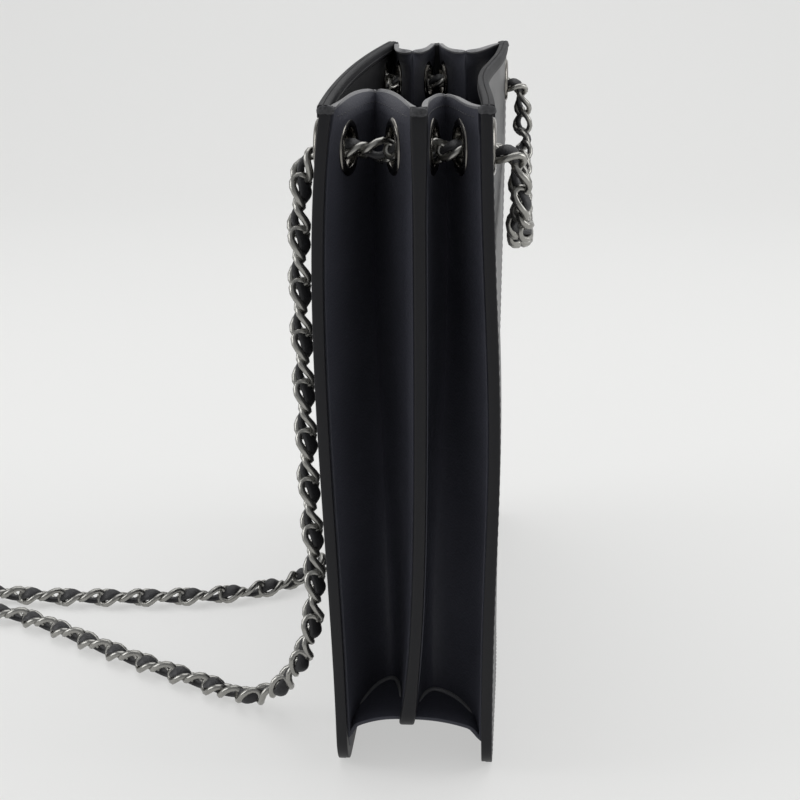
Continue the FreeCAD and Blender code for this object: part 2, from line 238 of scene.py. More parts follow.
def surface(name, group, dark, light, roughness, bump, depth,
            metallic=0.0, specular=0.5, scale=900, output="Shade"):
    """A material whose colour, roughness and relief follow one of the shared patterns."""
    material = bpy.data.materials.new(name)
    material.use_nodes = True
    tree = material.node_tree
    shader = tree.nodes["Principled BSDF"]
    shader.inputs["Metallic"].default_value = metallic
    shader.inputs["Specular IOR Level"].default_value = specular
    pattern = node(tree, "ShaderNodeGroup", node_tree=group)
    pattern.inputs[0].default_value = scale
    tint = node(tree, "ShaderNodeMix", data_type="RGBA")
    tint.inputs["A"].default_value = (*dark, 1)
    tint.inputs["B"].default_value = (*light, 1)
    tree.links.new(pattern.outputs[output], tint.inputs["Factor"])
    tree.links.new(tint.outputs["Result"], shader.inputs["Base Color"])
    gloss = node(tree, "ShaderNodeMapRange")
    gloss.inputs["From Min"].default_value = 0.25
    gloss.inputs["From Max"].default_value = 0.75
    gloss.inputs["To Min"].default_value = roughness[0]
    gloss.inputs["To Max"].default_value = roughness[1]
    tree.links.new(pattern.outputs[output], gloss.inputs["Value"])
    tree.links.new(gloss.outputs["Result"], shader.inputs["Roughness"])
    relief = node(tree, "ShaderNodeBump")
    relief.inputs["Strength"].default_value = bump
    relief.inputs["Distance"].default_value = depth
    tree.links.new(pattern.outputs["Height"], relief.inputs["Height"])
    tree.links.new(relief.outputs["Normal"], shader.inputs["Normal"])
    return material


leather_grain = leather_grain_group()
panel_leather = surface("panel_leather", leather_grain, (0.009, 0.009, 0.0115), (0.016, 0.016, 0.020),
                        roughness=(0.34, 0.44), bump=0.22, depth=0.0004)
edge_paint = surface("edge_paint", leather_grain, (0.0062, 0.0062, 0.0080), (0.0110, 0.0110, 0.0135),
                     roughness=(0.40, 0.54), bump=0.12, depth=0.0003, specular=0.3, scale=500)

rim_lines = [rim_width - 0.0001, rim_width + 0.0002]
panel_columns = [0, *rim_lines, *spread(0.0115, 0.2935, 46)]
panel_columns += [2 * half_length - line for line in (*reversed(rim_lines), 0)]
panel_rows = [0.00001, 0.0006, 0.0016, 0.003, *rim_lines, 0.008, 0.011, 0.015, *spread(0.021, 0.2565, 40)]
panel_rows += [panel_top - line for line in (*reversed(rim_lines), 0)]


def in_rim(point):
    from_end = half_width(point.z) - abs(point.x)
    return min(from_end, point.z, panel_top - point.z) < rim_width


for side_name, side in sides.items():
    def on_panel(column, row, side=side):
        x = (column / half_length - 1) * half_width(row)
        return Vector((x, panel_face(side, x, row), row))

    panel = laid_grid(f"{side_name}_panel_leather", panel_columns, panel_rows, on_panel)
    thicken(panel, panel_thickness, side, cut_round, in_rim, thin_share=0.5)
    for x in (-eyelet_x, eyelet_x):
        middle = panel_face(side, x, eyelet_z) - side * panel_thickness / 2
        punch(panel, Vector((x, middle, eyelet_z)), Vector((0, 1, 0)))
    panel.data.materials.append(panel_leather)
    panel.data.materials.append(edge_paint)
    for face in panel.data.polygons:
        face.material_index = int(abs(face.normal.y) < 0.8)
    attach(panel, f"{side_name}_panel")
    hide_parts(f"{side_name}_panel")

# Stiffener boards: a thin grey fibre board behind each panel's leather, inside the turned rim.
# Each is glued in and bends with its panel, and the lining covers it.
board_thickness = 0.0005
board_inset = 0.0052
board_depth = 0.00145
fibre_board = surface("fibre_board", leather_grain, (0.26, 0.245, 0.22), (0.36, 0.34, 0.31),
                      roughness=(0.75, 0.9), bump=0.3, depth=0.0003, scale=2200)


def inner_layer(name, side, depth, thickness):
    """A sheet inside a panel's rim that follows the panel's bend."""
    def on_layer(column, row):
        x = column * half_width(row - board_inset, board_inset)
        return Vector((x, panel_face(side, x, row) - side * depth, row))

    rows = spread(board_inset, panel_top - board_inset, 38)
    sheet = laid_grid(name, spread(-1, 1, 45), rows, on_layer)
    thicken(sheet, thickness, side, round_edge=0.00015)
    for x in (-eyelet_x, eyelet_x):
        punch(sheet, Vector((x, panel_face(side, x, eyelet_z) - side * depth, eyelet_z)), Vector((0, 1, 0)))
    return sheet


for side_name, side in sides.items():
    board = inner_layer(f"{side_name}_board", side, board_depth, board_thickness)
    board.data.materials.append(fibre_board)
    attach(board, f"{side_name}_panel")
    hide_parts(f"{side_name}_stiffener")

# Linings: black twill, cut to the size of the board.
# Each is glued over its board, so that the inside of the panel is smooth.
lining_thickness = 0.0008
lining_depth = 0.0020


def twill_group():
    """Fine diagonal ribs of a woven lining, with slow patches of shade."""
    group, rib_scale, puts_out = pattern_group("twill", "Ribs")
    ribs = texture(group, "Wave", rib_scale, Distortion=0.8, Detail=1)
    ribs.bands_direction = "DIAGONAL"
    group.links.new(ribs.outputs["Fac"], puts_out["Height"])
    patches = texture(group, "Noise", 40, Detail=5)
    group.links.new(patches.outputs["Fac"], puts_out["Shade"])
    return group


lining_twill = surface("lining_twill", twill_group(), (0.0060, 0.0060, 0.0075), (0.0105, 0.0105, 0.0125),
                       roughness=(0.6, 0.75), bump=0.25, depth=0.0003, specular=0.25, scale=260)
for side_name, side in sides.items():
    lining = inner_layer(f"{side_name}_lining_cloth", side, lining_depth, lining_thickness)
    lining.data.materials.append(lining_twill)
    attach(lining, f"{side_name}_panel")
    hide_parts(f"{side_name}_lining")

# Seam strips: the outer edge of the gusset leather, sewn flat to the inside of each panel.
# It runs down one end, along the bottom and up the other end, flush with the panel's painted edge.
seam_width = 0.005
seam_thickness = 0.0015
seam_gap = 0.00003
rim_top = bag_height - 0.0010


def rim_point(along, inset):
    """A point of the panel's outline: 0 is the top of the left end and 1 the top of the right end."""
    down = rim_top - corner_radius
    arc = corner_radius * math.pi / 2
    flat = 2 * (half_length - corner_radius)
    run = along * (2 * down + 2 * arc + flat)
    radius = corner_radius - inset
    if run > down + arc + flat / 2:
        x, z = rim_point(1 - along, inset)
        return -x, z
    if run < down:
        return -half_length + inset, corner_radius + down - run
    if run < down + arc:
        turn = (run - down) / corner_radius
        return (-half_length + corner_radius - radius * math.cos(turn),
                corner_radius - radius * math.sin(turn))
    return -half_length + corner_radius + run - down - arc, inset


for side_name, side in sides.items():
    def on_strip(along, inset, side=side):
        x, z = rim_point(along, inset)
        return Vector((x, panel_face(side, x, z) - side * (panel_thickness + seam_gap), z))

    strip = laid_grid(f"{side_name}_seam_strip", spread(0, 1, 261), spread(0.0001, seam_width, 4), on_strip)
    thicken(strip, seam_thickness, side, round_edge=0.0002)
    strip.data.materials.append(edge_paint)
    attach(strip, f"{side_name}_panel")
    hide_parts(f"{side_name}_seam_margin")

# Painted edges: a thin coat of dark paint over the end edges of each panel and its seam strip.
# It rounds the two layers into one band and thins out towards the bottom corners.
coat_thickness = 0.0005
coat_width = 0.0043
coat_margin = 0.0001
coat_crown = 0.0004
coat_rounding = 0.0003
coat_along = spread(0.001, 0.322, 90)
ends = {"left": -1, "right": 1}
for end, edge in ends.items():
    for side_name, side in sides.items():
        def on_coat(along, across, edge=edge, side=side):
            crown = coat_crown - coat_rounding * (2 * across - 1) ** 2
            x, z = rim_point(along, 0)
            x = -edge * (x - crown * min(1.0, z / corner_radius))
            inwards = coat_margin + (coat_width - 2 * coat_margin) * across
            return Vector((x, panel_face(side, x, z) - side * inwards, z))

        coat = laid_grid(f"{end}_{side_name}_edge_coat", coat_along, spread(0, 1, 7), on_coat)
        thicken(coat, coat_thickness, side * edge, round_edge=0.00015)
        coat.data.materials.append(edge_paint)
        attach(coat, f"{side_name}_panel")

# End pleats: soft black leather, folded inwards into two deep valleys at each end. A valley's outer half
# is sewn to the panel and its inner half into the middle ridge, lapped behind the outer one low down.
# The top edge is turned and stitched, so it is thicker, and it flares out above the eyelets.
leaf_thickness = 0.0016
hem_thickness = {"outer": 0.0024, "inner": 0.0023}
hem_width = 0.0075
hem_round = 0.0007
highlight_rim_width = 0.001
pleat_top = 0.269
seam_line = 0.0272
seam_inset = 0.0042
seam_base = 0.0045
seam_share = 0.97
bottom_level = 0.01
valley_base = 0.033
base_valley = 0.0150
ridge_base = 0.0205
ridge_bottom = 0.018
ridge_turn = 0.010
ridge_span = half_length - ridge_turn
ridge_side = 0.0021
ridge_inset = 0.0030
near_lean = -0.0040
near_kick = 0.0110
kick_height = 0.045
far_lean = 0.0060
bend_start = 0.05
bend_height = 0.17
flare_start = 0.257
flare_height = 0.012
valley_reach = 0.03
lap_reach = 0.20
lap_step = 0.0019
lap_share = 0.01
foot_level = 0.02
foot_sink = 0.0006
fold_line = 0.0283
fold_side = 0.0023
fold_height = 0.018
fold_rise = 0.006
fold_tuck = 0.0035
tuck_share = 0.2
fold_droop = 0.0018
fold_under = 0.0012
fold_end = 0.104
fold_run_out = 0.016
follow_shares = {"outer": (0.7, 0.5, 0.3), "inner": (0.1, 0.2, 0.3)}
low_valleys = {
    ("left", "back"): (0.0390, 0.0123),
    ("left", "front"): (0.0295, -0.0075),
    ("right", "back"): (0.0420, 0.0130),
    ("right", "front"): (0.0420, -0.0130),
}
low_curves = {
    ("left", "back", "outer"): ((0.022, 0.0255), (0.039, 0.0200)),
    ("left", "back", "inner"): ((0.024, 0.0055), (0.039, 0.0065)),
    ("left", "front", "outer"): ((0.018, -0.0255), (0.0295, -0.0160)),
    ("left", "front", "inner"): ((0.020, 0.0003), (0.0295, -0.0020)),
    ("right", "back", "outer"): ((0.022, 0.0240), (0.042, 0.0195)),
    ("right", "back", "inner"): ((0.024, 0.0050), (0.042, 0.0070)),
    ("right", "front", "outer"): ((0.022, -0.0240), (0.042, -0.0195)),
    ("right", "front", "inner"): ((0.024, -0.0050), (0.042, -0.0070)),
}
valleys = {
    ("left", "back"): (0.0590, 0.0165),
    ("left", "front"): (0.0435, -0.0118),
    ("right", "back"): (0.0540, 0.0155),
    ("right", "front"): (0.0550, -0.0115),
}
eyelet_curves = {
    ("left", "back", "outer"): ((0.020, 0.0226), (0.045, 0.0214)),
    ("left", "back", "inner"): ((0.018, 0.0060), (0.040, 0.0095)),
    ("left", "front", "outer"): ((0.016, -0.0195), (0.036, -0.0181)),
    ("left", "front", "inner"): ((0.018, -0.0062), (0.034, -0.0069)),
    ("right", "back", "outer"): ((0.018, 0.0230), (0.040, 0.0215)),
    ("right", "back", "inner"): ((0.018, 0.0096), (0.038, 0.0110)),
    ("right", "front", "outer"): ((0.016, -0.0215), (0.040, -0.0190)),
    ("right", "front", "inner"): ((0.018, 0.0024), (0.040, -0.0015)),
}
lip_curves = {
    ("left", "back", "outer"): ((0.038, 0.0268), (0.062, 0.0260)),
    ("left", "back", "inner"): ((0.026, 0.0024), (0.062, 0.0090)),
    ("left", "front", "outer"): ((0.014, -0.0185), (0.046, -0.0185)),
    ("left", "front", "inner"): ((0.024, -0.0046), (0.046, -0.0050)),
    ("right", "back", "outer"): ((0.034, 0.0255), (0.056, 0.0245)),
    ("right", "back", "inner"): ((0.026, 0.0086), (0.056, 0.0082)),
    ("right", "front", "outer"): ((0.024, -0.0210), (0.057, -0.0195)),
    ("right", "front", "inner"): ((0.024, 0.0010), (0.057, -0.0035)),
}


def ridge_y(end, z):
    """Y of the middle ridge, which leans to the front at the left end and to the back at the right."""
    if end == "left":
        return near_lean + near_kick * math.exp(-z / kick_height)
    return far_lean * max(0.0, z / bag_height) ** 1.5


def bottom_ridge_y(x):
    """Y of the middle ridge under the bag."""
    left = ridge_y("left", ridge_bottom)
    return left + (ridge_y("right", ridge_bottom) - left) * ease((x + ridge_span) / (2 * ridge_span))


def bottom_shift(side, x):
    """How far a panel's bottom edge has moved from its straight line."""
    return panel_face(side, x, bottom_level) - side * half_depth


def base_height(x, y):
    """Height of the pleats under the bag, from the seam up to the valley and down to the ridge."""
    out = abs(y)
    side = math.copysign(1, y)
    sewn = seam_line + side * bottom_shift(side, x)
    if out > base_valley:
        return seam_base + (valley_base - seam_base) * (sewn - out) / (sewn - base_valley)
    ridge_edge = abs(bottom_ridge_y(x) + side * ridge_side)
    return ridge_base + (valley_base - ridge_base) * (out - ridge_edge) / (base_valley - ridge_edge)


def corner_height(side, x, y):
    """Height of the leather that closes a bottom corner, between the panel and the ridge."""
    from_middle = abs(x)
    ridge_edge = bottom_ridge_y(x) + side * fold_side
    panel_y = side * fold_line + bottom_shift(side, x)
    across = max(0.0, min(1.0, (panel_y - y) / (panel_y - ridge_edge)))
    height = fold_height + fold_rise * (1 - (1 - across) ** 2.2) - fold_tuck * (1 - ease(across / tuck_share))
    height -= fold_droop * ease((from_middle - ridge_span) / ridge_turn)
    sewn = seam_line + side * bottom_shift(side, x)
    under = base_height(x, side * min(abs(y), sewn)) - fold_under
    return height + (under - height) * ease((fold_end - from_middle) / fold_run_out)


def fold_point(end, side_name, half, across, z):
    """X and Y of a pleat at a height, from its sewn edge (across 0) to its valley (across 1)."""
    side = sides[side_name]
    low = (*low_curves[end, side_name, half], low_valleys[end, side_name])
    level = (*eyelet_curves[end, side_name, half], valleys[end, side_name])
    lip = (*lip_curves[end, side_name, half], valleys[end, side_name])
    high = ease((z - bend_start) / bend_height)
    flared = max(0.0, (z - flare_start) / flare_height) ** 3
    pushed = panel_face(side, ends[end] * half_length * seam_share, z) - side * half_depth
    bent = []
    for at_foot, at_eyelet, at_lip, share in zip(low, level, lip, follow_shares[half]):
        point = Vector(at_foot).lerp(Vector(at_eyelet), high).lerp(Vector(at_lip), flared)
        bent.append(point + Vector((0, share * pushed)))
    first, second, valley = bent
    sewn = Vector((ridge_inset, ridge_y(end, z) + side * ridge_side))
    if half == "outer":
        sewn = Vector((seam_inset, side * seam_line + pushed))
    t = min(1.0, across)
    place = sewn * (1 - t) ** 3 + first * 3 * t * (1 - t) ** 2 + second * 3 * t * t * (1 - t)
    place += valley * t ** 3
    past = max(0.0, across - 1)
    lap = 1 - high if half == "inner" else 0.0
    place += (valley - second).normalized() * past * (valley_reach + lap_reach * lap)
    place.x += lap_step * lap * ease(past / lap_share)
    return ends[end] * (half_length - place.x), place.y


def end_pleat_point(end, side_name, half, across, down):
    """A point of a pleat at one end: down 0 is the top edge and 1 its foot on the corner fold."""
    foot = corner_height(sides[side_name], *fold_point(end, side_name, half, across, foot_level)) - foot_sink
    z = pleat_top + (foot - pleat_top) * down
    return Vector((*fold_point(end, side_name, half, across, z), z))


def across_at_eyelet(end, side_name, half):
    """The pleat's point and facing where its eyelet sits."""
    low, high = 0.0, 1.0
    for _ in range(40):
        middle = (low + high) / 2
        if abs(fold_point(end, side_name, half, middle, eyelet_z)[0]) > eyelet_x:
            low = middle
        else:
            high = middle
    before, here, after = (Vector((*fold_point(end, side_name, half, low + step, eyelet_z), eyelet_z))
                           for step in (-0.04, 0, 0.04))
    return here, (after - before).cross(Vector((0, 0, 1))).normalized()


def bend_with_pleat(piece):
    """Bakes a pleat piece's placement into its mesh."""
    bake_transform(piece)


# The pleats' leather is coloured much lighter than the panels' black leather: painted light that lifts the
# pleats' shaded valleys.
pleat_leather_painted_light = surface("pleat_leather_painted_light", leather_grain, (0.0350, 0.0362, 0.0480), (0.0550, 0.0568, 0.0740),
                        roughness=(0.52, 0.66), bump=0.30, depth=0.0005, specular=0.35, scale=1100)
# Pale leather used as a painted highlight along the pleats' top rims and along the corner creases.
highlight_painted_leather = surface("highlight_painted_leather", leather_grain, (0.035, 0.035, 0.039), (0.240, 0.240, 0.250),
                         roughness=(0.30, 0.44), bump=0.35, depth=0.0005, scale=700)
pleat_across = [0, 0.03] + spread(0.08, 1, 20) + [1.01, 1.02, 1.03]
pleat_down = [0, 0.004, 0.009, 0.0155, 0.021, 0.027, 0.0285] + spread(0.045, 1, 42)
pleat_names = [(end, side_name, half) for end in ends for side_name in sides for half in ("outer", "inner")]
for end, side_name, half in pleat_names:
    def on_pleat(across, down, end=end, side_name=side_name, half=half):
        return end_pleat_point(end, side_name, half, across, down)

    pleat = laid_grid(f"{end}_{side_name}_{half}_pleat", pleat_across, pleat_down, on_pleat)
    pleat.data.materials.append(pleat_leather_painted_light)
    pleat.data.materials.append(highlight_painted_leather)
    # The faces along the pleat's top edge take the pale leather as a painted highlight on the rim.
    for face in pleat.data.polygons:
        face.material_index = int(face.center.z > pleat_top - highlight_rim_width)
    hem = hem_thickness[half]
    thicken(pleat, hem, 0, hem_round, lambda point: point.z > pleat_top - hem_width, leaf_thickness / hem)
    punch(pleat, *across_at_eyelet(end, side_name, half))
    bend_with_pleat(pleat)
    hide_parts(f"{end}_{side_name}_{half}_leaf")

# Pleats under the bag: the same leather goes on along the bottom, folded up between the panels.
# They reach from one pair of corner folds to the other.
base_end = 0.098
base_along = spread(-base_end, base_end, 36)
for side_name, side in sides.items():
    for half in ("outer", "inner"):
        def on_base(across, x, side=side, half=half):
            sewn = side * seam_line + bottom_shift(side, x)
            if half == "inner":
                sewn = bottom_ridge_y(x) + side * ridge_side
            y = sewn + (side * base_valley - sewn) * across
            return Vector((x, y, base_height(x, y)))

        pleat = laid_grid(f"{side_name}_base_{half}_pleat", spread(0, 1, 16), base_along, on_base)
        thicken(pleat, leaf_thickness, 0, cut_round)
        pleat.data.materials.append(pleat_leather_painted_light)
        if half == "outer":
            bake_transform(pleat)
        else:
            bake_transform(pleat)
        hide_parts(f"{side_name}_base_{half}_leaf")

# Corner folds: in each bottom corner the pleats' leather is folded flat into a small floor.
# It closes the valley between the panel's seam, the middle ridge and the pleats under the bag.
# Where the floor is creased against the pleats, a thin roll of leather runs along the crease, coloured pale
# as a painted highlight.
fold_out = [0.1475, 0.1465, 0.1450, 0.1430] + spread(0.1400, fold_end, 13) + spread(0.1015, 0.0880, 8)
flap = 0.2
flap_out = 0.0003
flap_drop = 0.0010
flap_radius = 0.010
fold_across = [-flap, -flap / 2, 0, 0.03, 0.07, 0.12, 0.17] + spread(0.22, 1, 17)
crease_radius = 0.0009
crease_flatness = 1.5
crease_stand = 0.0012
crease_lift = 0.0003
crease_level = 0.022
crease_turns = spread(0, 2 * math.pi, 9)
for end, edge in ends.items():
    for side_name, side in sides.items():
        def on_fold(across, out, edge=edge, side=side):
            x = edge * out
            panel_y = side * fold_line + bottom_shift(side, x)
            y = panel_y + (bottom_ridge_y(x) + side * fold_side - panel_y) * max(0.0, across)
            z = corner_height(side, x, y)
            past = min(flap_radius, max(0.0, out - half_length + corner_radius))
            seam = corner_radius - math.sqrt(flap_radius ** 2 - past ** 2)
            if across < 0:
                y += side * flap_out
                z -= max(flap_drop, z - seam) * across / -flap
            return Vector((x, y, z))

        fold = laid_grid(f"{end}_{side_name}_corner_fold", fold_across, fold_out, on_fold)
        thicken(fold, leaf_thickness, side * edge, cut_round, even=False)
        feet = [fold_point(end, side_name, "outer", a, crease_level) for a in spread(0.2, 1, 18)]
        feet += [fold_point(end, side_name, "inner", a, crease_level) for a in spread(0.94, 0.3, 13)]

        def on_crease(index, turn, feet=feet, side=side, edge=edge):
            x, y = feet[index]
            before = Vector(feet[max(0, index - 1)])
            after = Vector(feet[min(len(feet) - 1, index + 1)])
            along = (after - before).normalized()
            open_side = Vector((along.y, -along.x)) * -side * edge
            thin = crease_radius * math.sin(math.pi * (index + 0.6) / (len(feet) + 0.2)) ** 0.5
            flat = thin * crease_flatness * math.cos(turn) + crease_stand
            return Vector((x + open_side.x * flat, y + open_side.y * flat,
                           corner_height(side, x, y) + crease_lift + thin * math.sin(turn)))

        crease = laid_grid(f"{end}_{side_name}_crease", range(len(feet)), crease_turns, on_crease)
        close_up(crease, doubles=0.00001, fill_ends=True)
        bpy.ops.object.shade_smooth()
        for piece, leather in ((fold, pleat_leather_painted_light), (crease, highlight_painted_leather)):
            piece.data.materials.append(leather)
            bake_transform(piece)

# Middle ridge: the two inner pleats sewn edge to edge, with a painted edge like the panels'.
# It runs down one end, under the bag clear of the floor, and up the other end.
ridge_top = 0.2685
ridge_depth = 0.005
ridge_width = 0.0048
top_widening = 0.0016
wide_above = 0.225
foot_widening = 0.0014
wide_below = 0.05
down_share = 0.6
turn_share = 0.66


def ridge_point(along, across):
    """A point of the ridge's outer face: along runs from the left top to the right top."""
    end = "left" if along < 0.5 else "right"
    run = min(along, 1 - along) * 2
    from_end = 0.0
    z = ridge_bottom
    if run < down_share:
        z = ridge_top + (ridge_bottom + ridge_turn - ridge_top) * run / down_share
    elif run < turn_share:
        turn = math.radians(90) * (run - down_share) / (turn_share - down_share)
        from_end = ridge_turn * (1 - math.cos(turn))
        z = ridge_bottom + ridge_turn * (1 - math.sin(turn))
    else:
        from_end = ridge_turn + ridge_span * (run - turn_share) / (1 - turn_share)
    x = ends[end] * (half_length - from_end)
    y = ridge_y(end, z) if run < turn_share else bottom_ridge_y(x)
    width = ridge_width + top_widening * ease((z - wide_above) / 0.04)
    width += foot_widening * ease((wide_below - z) / 0.03)
    return Vector((x, y + across * width / 2, z))


ridge_along = spread(0, 0.3, 40) + spread(0.305, 0.33, 6) + spread(0.34, 0.66, 33) + spread(0.67, 0.695, 6)
ridge_along += spread(0.7, 1, 40)
ridge = laid_grid("middle_ridge_edge", ridge_along, [-1, -0.5, 0, 0.5, 1], ridge_point)
thicken(ridge, ridge_depth, 1, round_edge=0.0010)
ridge.data.materials.append(edge_paint)
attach(ridge, "core")
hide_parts("left_ridge", "right_ridge", "base_ridge")

# Top strips: a narrow band of leather folded over each panel's top edge and stitched through.
# The fold is pressed flat along the top, with a fine groove where its two layers meet.
strip_thickness = 0.0008
strip_gap = 0.00005
strip_width = 0.0044
strip_height = 0.0046
strip_level = panel_top - 0.002
groove_depth = 0.0004
strip_leather = surface("strip_leather", leather_grain, (0.009, 0.009, 0.0115), (0.016, 0.016, 0.0190),
                        roughness=(0.56, 0.68), bump=0.24, depth=0.0004, specular=0.2)
strip_side = [
    (0.0000, strip_height), (0.0000, 0.0030), (0.0000, 0.0014), (0.0001, 0.0005), (0.0005, 0.0001),
    (0.0012, 0.0000), (0.0019, 0.0000), (0.00215, 0.0003),
]
strip_profile = [*strip_side, (strip_width / 2, groove_depth)]
strip_profile += [(strip_width - inwards, drop) for inwards, drop in reversed(strip_side)]


def strip_face(side, x):
    """Y of a top strip's outer face."""
    return panel_face(side, x, strip_level) + side * (strip_thickness + strip_gap)


for side_name, side in sides.items():
    def on_top(x, bend, side=side):
        inwards, drop = bend
        return Vector((x, strip_face(side, x) - side * inwards, bag_height - drop))

    top_columns = spread(-half_length, half_length, 74)
    top_strip = laid_grid(f"{side_name}_top_strip", top_columns, strip_profile, on_top)
    thicken(top_strip, strip_thickness * 0.9, side, round_edge=0.0002)
    top_strip.data.materials.append(strip_leather)
    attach(top_strip, f"{side_name}_panel")
    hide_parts(f"{side_name}_top_binding")

# Turned ends: at the top of the panels' end edges and of the ridge the leather is folded over and pressed.
# Each leaves a small rough lump, with pale specks painted where its relief stands out, as painted glints.
lump_size = (0.0017, 0.0032, 0.0018)
lump_x = half_length * 0.994
panel_lump_z = 0.2681
panel_lump_depth = 0.0019
ridge_lump_z = 0.2672
# Pale specks where the grain stands out are painted glints.
glint_painted_leather = surface("glint_painted_leather", leather_grain, (0.0, 0.0, 0.0), (0.058, 0.058, 0.063),
                       roughness=(0.5, 0.7), bump=0.8, depth=0.0010, scale=700, output="Height")
bpy.ops.object.select_all(action="DESELECT")
bpy.ops.mesh.primitive_ico_sphere_add(subdivisions=3, radius=1)
one_lump = bpy.context.object
for point in one_lump.data.vertices:
    x, y, z = point.co
    boxed = max(abs(x), abs(y), abs(z)) ** -0.5
    rough = 1 + 0.09 * math.sin(7 * y + 3 * z) * math.cos(5 * z + 4 * x) + 0.05 * math.sin(13 * y - 9 * z)
    point.co = [size * share * boxed * rough for size, share in zip(lump_size, (x, y, z))]


def copies(name, model, places):
    """One piece made of a copy of the model at each place."""
    grown = bmesh.new()
    for place in places:
        first = len(grown.verts)
        grown.from_mesh(model.data)
        grown.verts.ensure_lookup_table()
        bmesh.ops.transform(grown, matrix=place, verts=grown.verts[first:])
    mesh = bpy.data.meshes.new(name)
    grown.to_mesh(mesh)
    grown.free()
    for face in mesh.polygons:
        face.use_smooth = True
    piece = bpy.data.objects.new(name, mesh)
    bpy.context.scene.collection.objects.link(piece)
    return piece


lump_places = {"ridge": [], "back": [], "front": []}
for end, edge in ends.items():
    lump_places["ridge"].append((edge * lump_x, ridge_y(end, ridge_top), ridge_lump_z))
    for side_name, side in sides.items():
        y = panel_face(side, edge * half_length, panel_top) - side * panel_lump_depth
        lump_places[side_name].append((edge * lump_x, y, panel_lump_z))
for owner, places in lump_places.items():
    lumps = copies(f"{owner}_turned_ends", one_lump, [Matrix.Translation(place) for place in places])
    lumps.data.materials.append(glint_painted_leather)
    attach(lumps, "core" if owner == "ridge" else f"{owner}_panel")
bpy.data.objects.remove(one_lump)

# Stitching: waxed black thread, in rows along the panel seams, the top strips and the pleats' hems.
# Each stitch is drawn tight into the leather.
stitch_length = 0.0032
stitch_pitch = 0.0042
thread_radius = 0.00028
seam_row_inset = 0.0031
seam_row_length = 0.825
top_row_length = 0.299
top_row_drop = 0.0036
top_row_margin = 0.003
hem_row_down = 0.0165
hem_row_length = 0.050
hem_row_stand = 0.00118


def waxed_thread_group():
    """Twisted strands of a waxed thread."""
    group, strand_scale, puts_out = pattern_group("thread_twist", "Strands")
    strands = texture(group, "Noise", strand_scale, Detail=2)
    for output in ("Height", "Shade"):
        group.links.new(strands.outputs["Fac"], puts_out[output])
    return group


waxed_thread = surface("waxed_thread", waxed_thread_group(), (0.014, 0.014, 0.016), (0.045, 0.045, 0.049),
                       roughness=(0.4, 0.55), bump=0.4, depth=0.0001, scale=2500)
bpy.ops.object.select_all(action="DESELECT")
bpy.ops.mesh.primitive_uv_sphere_add(segments=6, ring_count=5, radius=1)
one_stitch = bpy.context.object
one_stitch.rotation_euler = (0, math.radians(90), 0)
bpy.ops.object.transform_apply(rotation=True)
one_stitch.scale = (stitch_length / 2, thread_radius, thread_radius)
bpy.ops.object.transform_apply(scale=True)


def frame_at(place, along, facing):
    """A turn and a place whose X goes along and whose Z faces out."""
    along = along.normalized()
    across = facing.cross(along).normalized()
    out = along.cross(across)
    turn = Matrix((along, across, out)).transposed().to_4x4()
    return Matrix.Translation(place) @ turn


def stitch_places(curve, length, out):
    """Stitches along curve(share), standing on the side that out(share) faces."""
    count = max(2, round(length / stitch_pitch))
    step = 0.2 / count
    places = []
    for i in range(count):
        share = (i + 0.5) / count
        along = curve(share + step) - curve(share - step)
        facing = out(share)
        places.append(frame_at(curve(share) - facing * thread_radius * 0.3, along, facing))
    return places


for side_name, side in sides.items():
    def seam_row(share, side=side):
        x, z = rim_point(0.004 + share * 0.992, seam_row_inset)
        return Vector((x, panel_face(side, x, z), z))

    def top_row(share, side=side):
        x = (share * 2 - 1) * (half_length - top_row_margin)
        return Vector((x, strip_face(side, x), bag_height - top_row_drop))

    def inner_top_row(share, side=side):
        return top_row(share, side) - Vector((0, side * strip_width, 0))

    def outwards(share, side=side):
        return Vector((0, side, 0))

    def inwards(share, side=side):
        return Vector((0, -side, 0))

    rows = stitch_places(seam_row, seam_row_length, outwards)
    rows += stitch_places(top_row, top_row_length, outwards)
    rows += stitch_places(inner_top_row, top_row_length, inwards)
    stitches = copies(f"{side_name}_panel_stitches", one_stitch, rows)
    stitches.data.materials.append(waxed_thread)
    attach(stitches, f"{side_name}_panel")

for end, side_name, half in pleat_names:
    def hem_row(share, end=end, side_name=side_name, half=half):
        return end_pleat_point(end, side_name, half, 0.05 + 0.94 * share, hem_row_down)

    def hem_out(share, end=end, side_name=side_name, half=half):
        step = 0.01
        along = hem_row(share + step) - hem_row(share - step)
        out = along.cross(Vector((0, 0, 1))).normalized()
        valley = end_pleat_point(end, side_name, half, 1, hem_row_down)
        towards = valley + Vector((ends[end] * 0.03, 0, 0)) - hem_row(share)
        return out if out.dot(towards) > 0 else -out

    def hem_line(share, hem_row=hem_row, hem_out=hem_out):
        return hem_row(share) + hem_out(max(0.02, min(0.98, share))) * hem_row_stand

    rows = stitch_places(hem_line, hem_row_length, hem_out)
    stitches = copies(f"{end}_{side_name}_{half}_stitches", one_stitch, rows)
    stitches.data.materials.append(waxed_thread)
    bend_with_pleat(stitches)
bpy.data.objects.remove(one_stitch)

# Eyelets: turned brass rings plated in dark gunmetal, pressed through the leather and rolled over a washer.
# Two go through each panel and one through each half of a pleat, and the chain runs through them all.
ring_profile = [
    (0.00750, -0.0030), (0.00750, 0.0004), (0.00765, 0.0008), (0.00800, 0.00112), (0.00860, 0.0013),
    (0.00930, 0.0013), (0.01000, 0.0011), (0.01060, 0.0007), (0.01090, 0.00035), (0.01100, 0.0000),
    (0.00835, 0.0000), (0.00835, -0.0030),
]
backing_profile = [
    (0.00840, 0.0000), (0.00840, 0.0004), (0.00880, 0.00055), (0.00940, 0.0006), (0.01010, 0.00045),
    (0.01050, 0.0002), (0.01050, 0.0000),
]


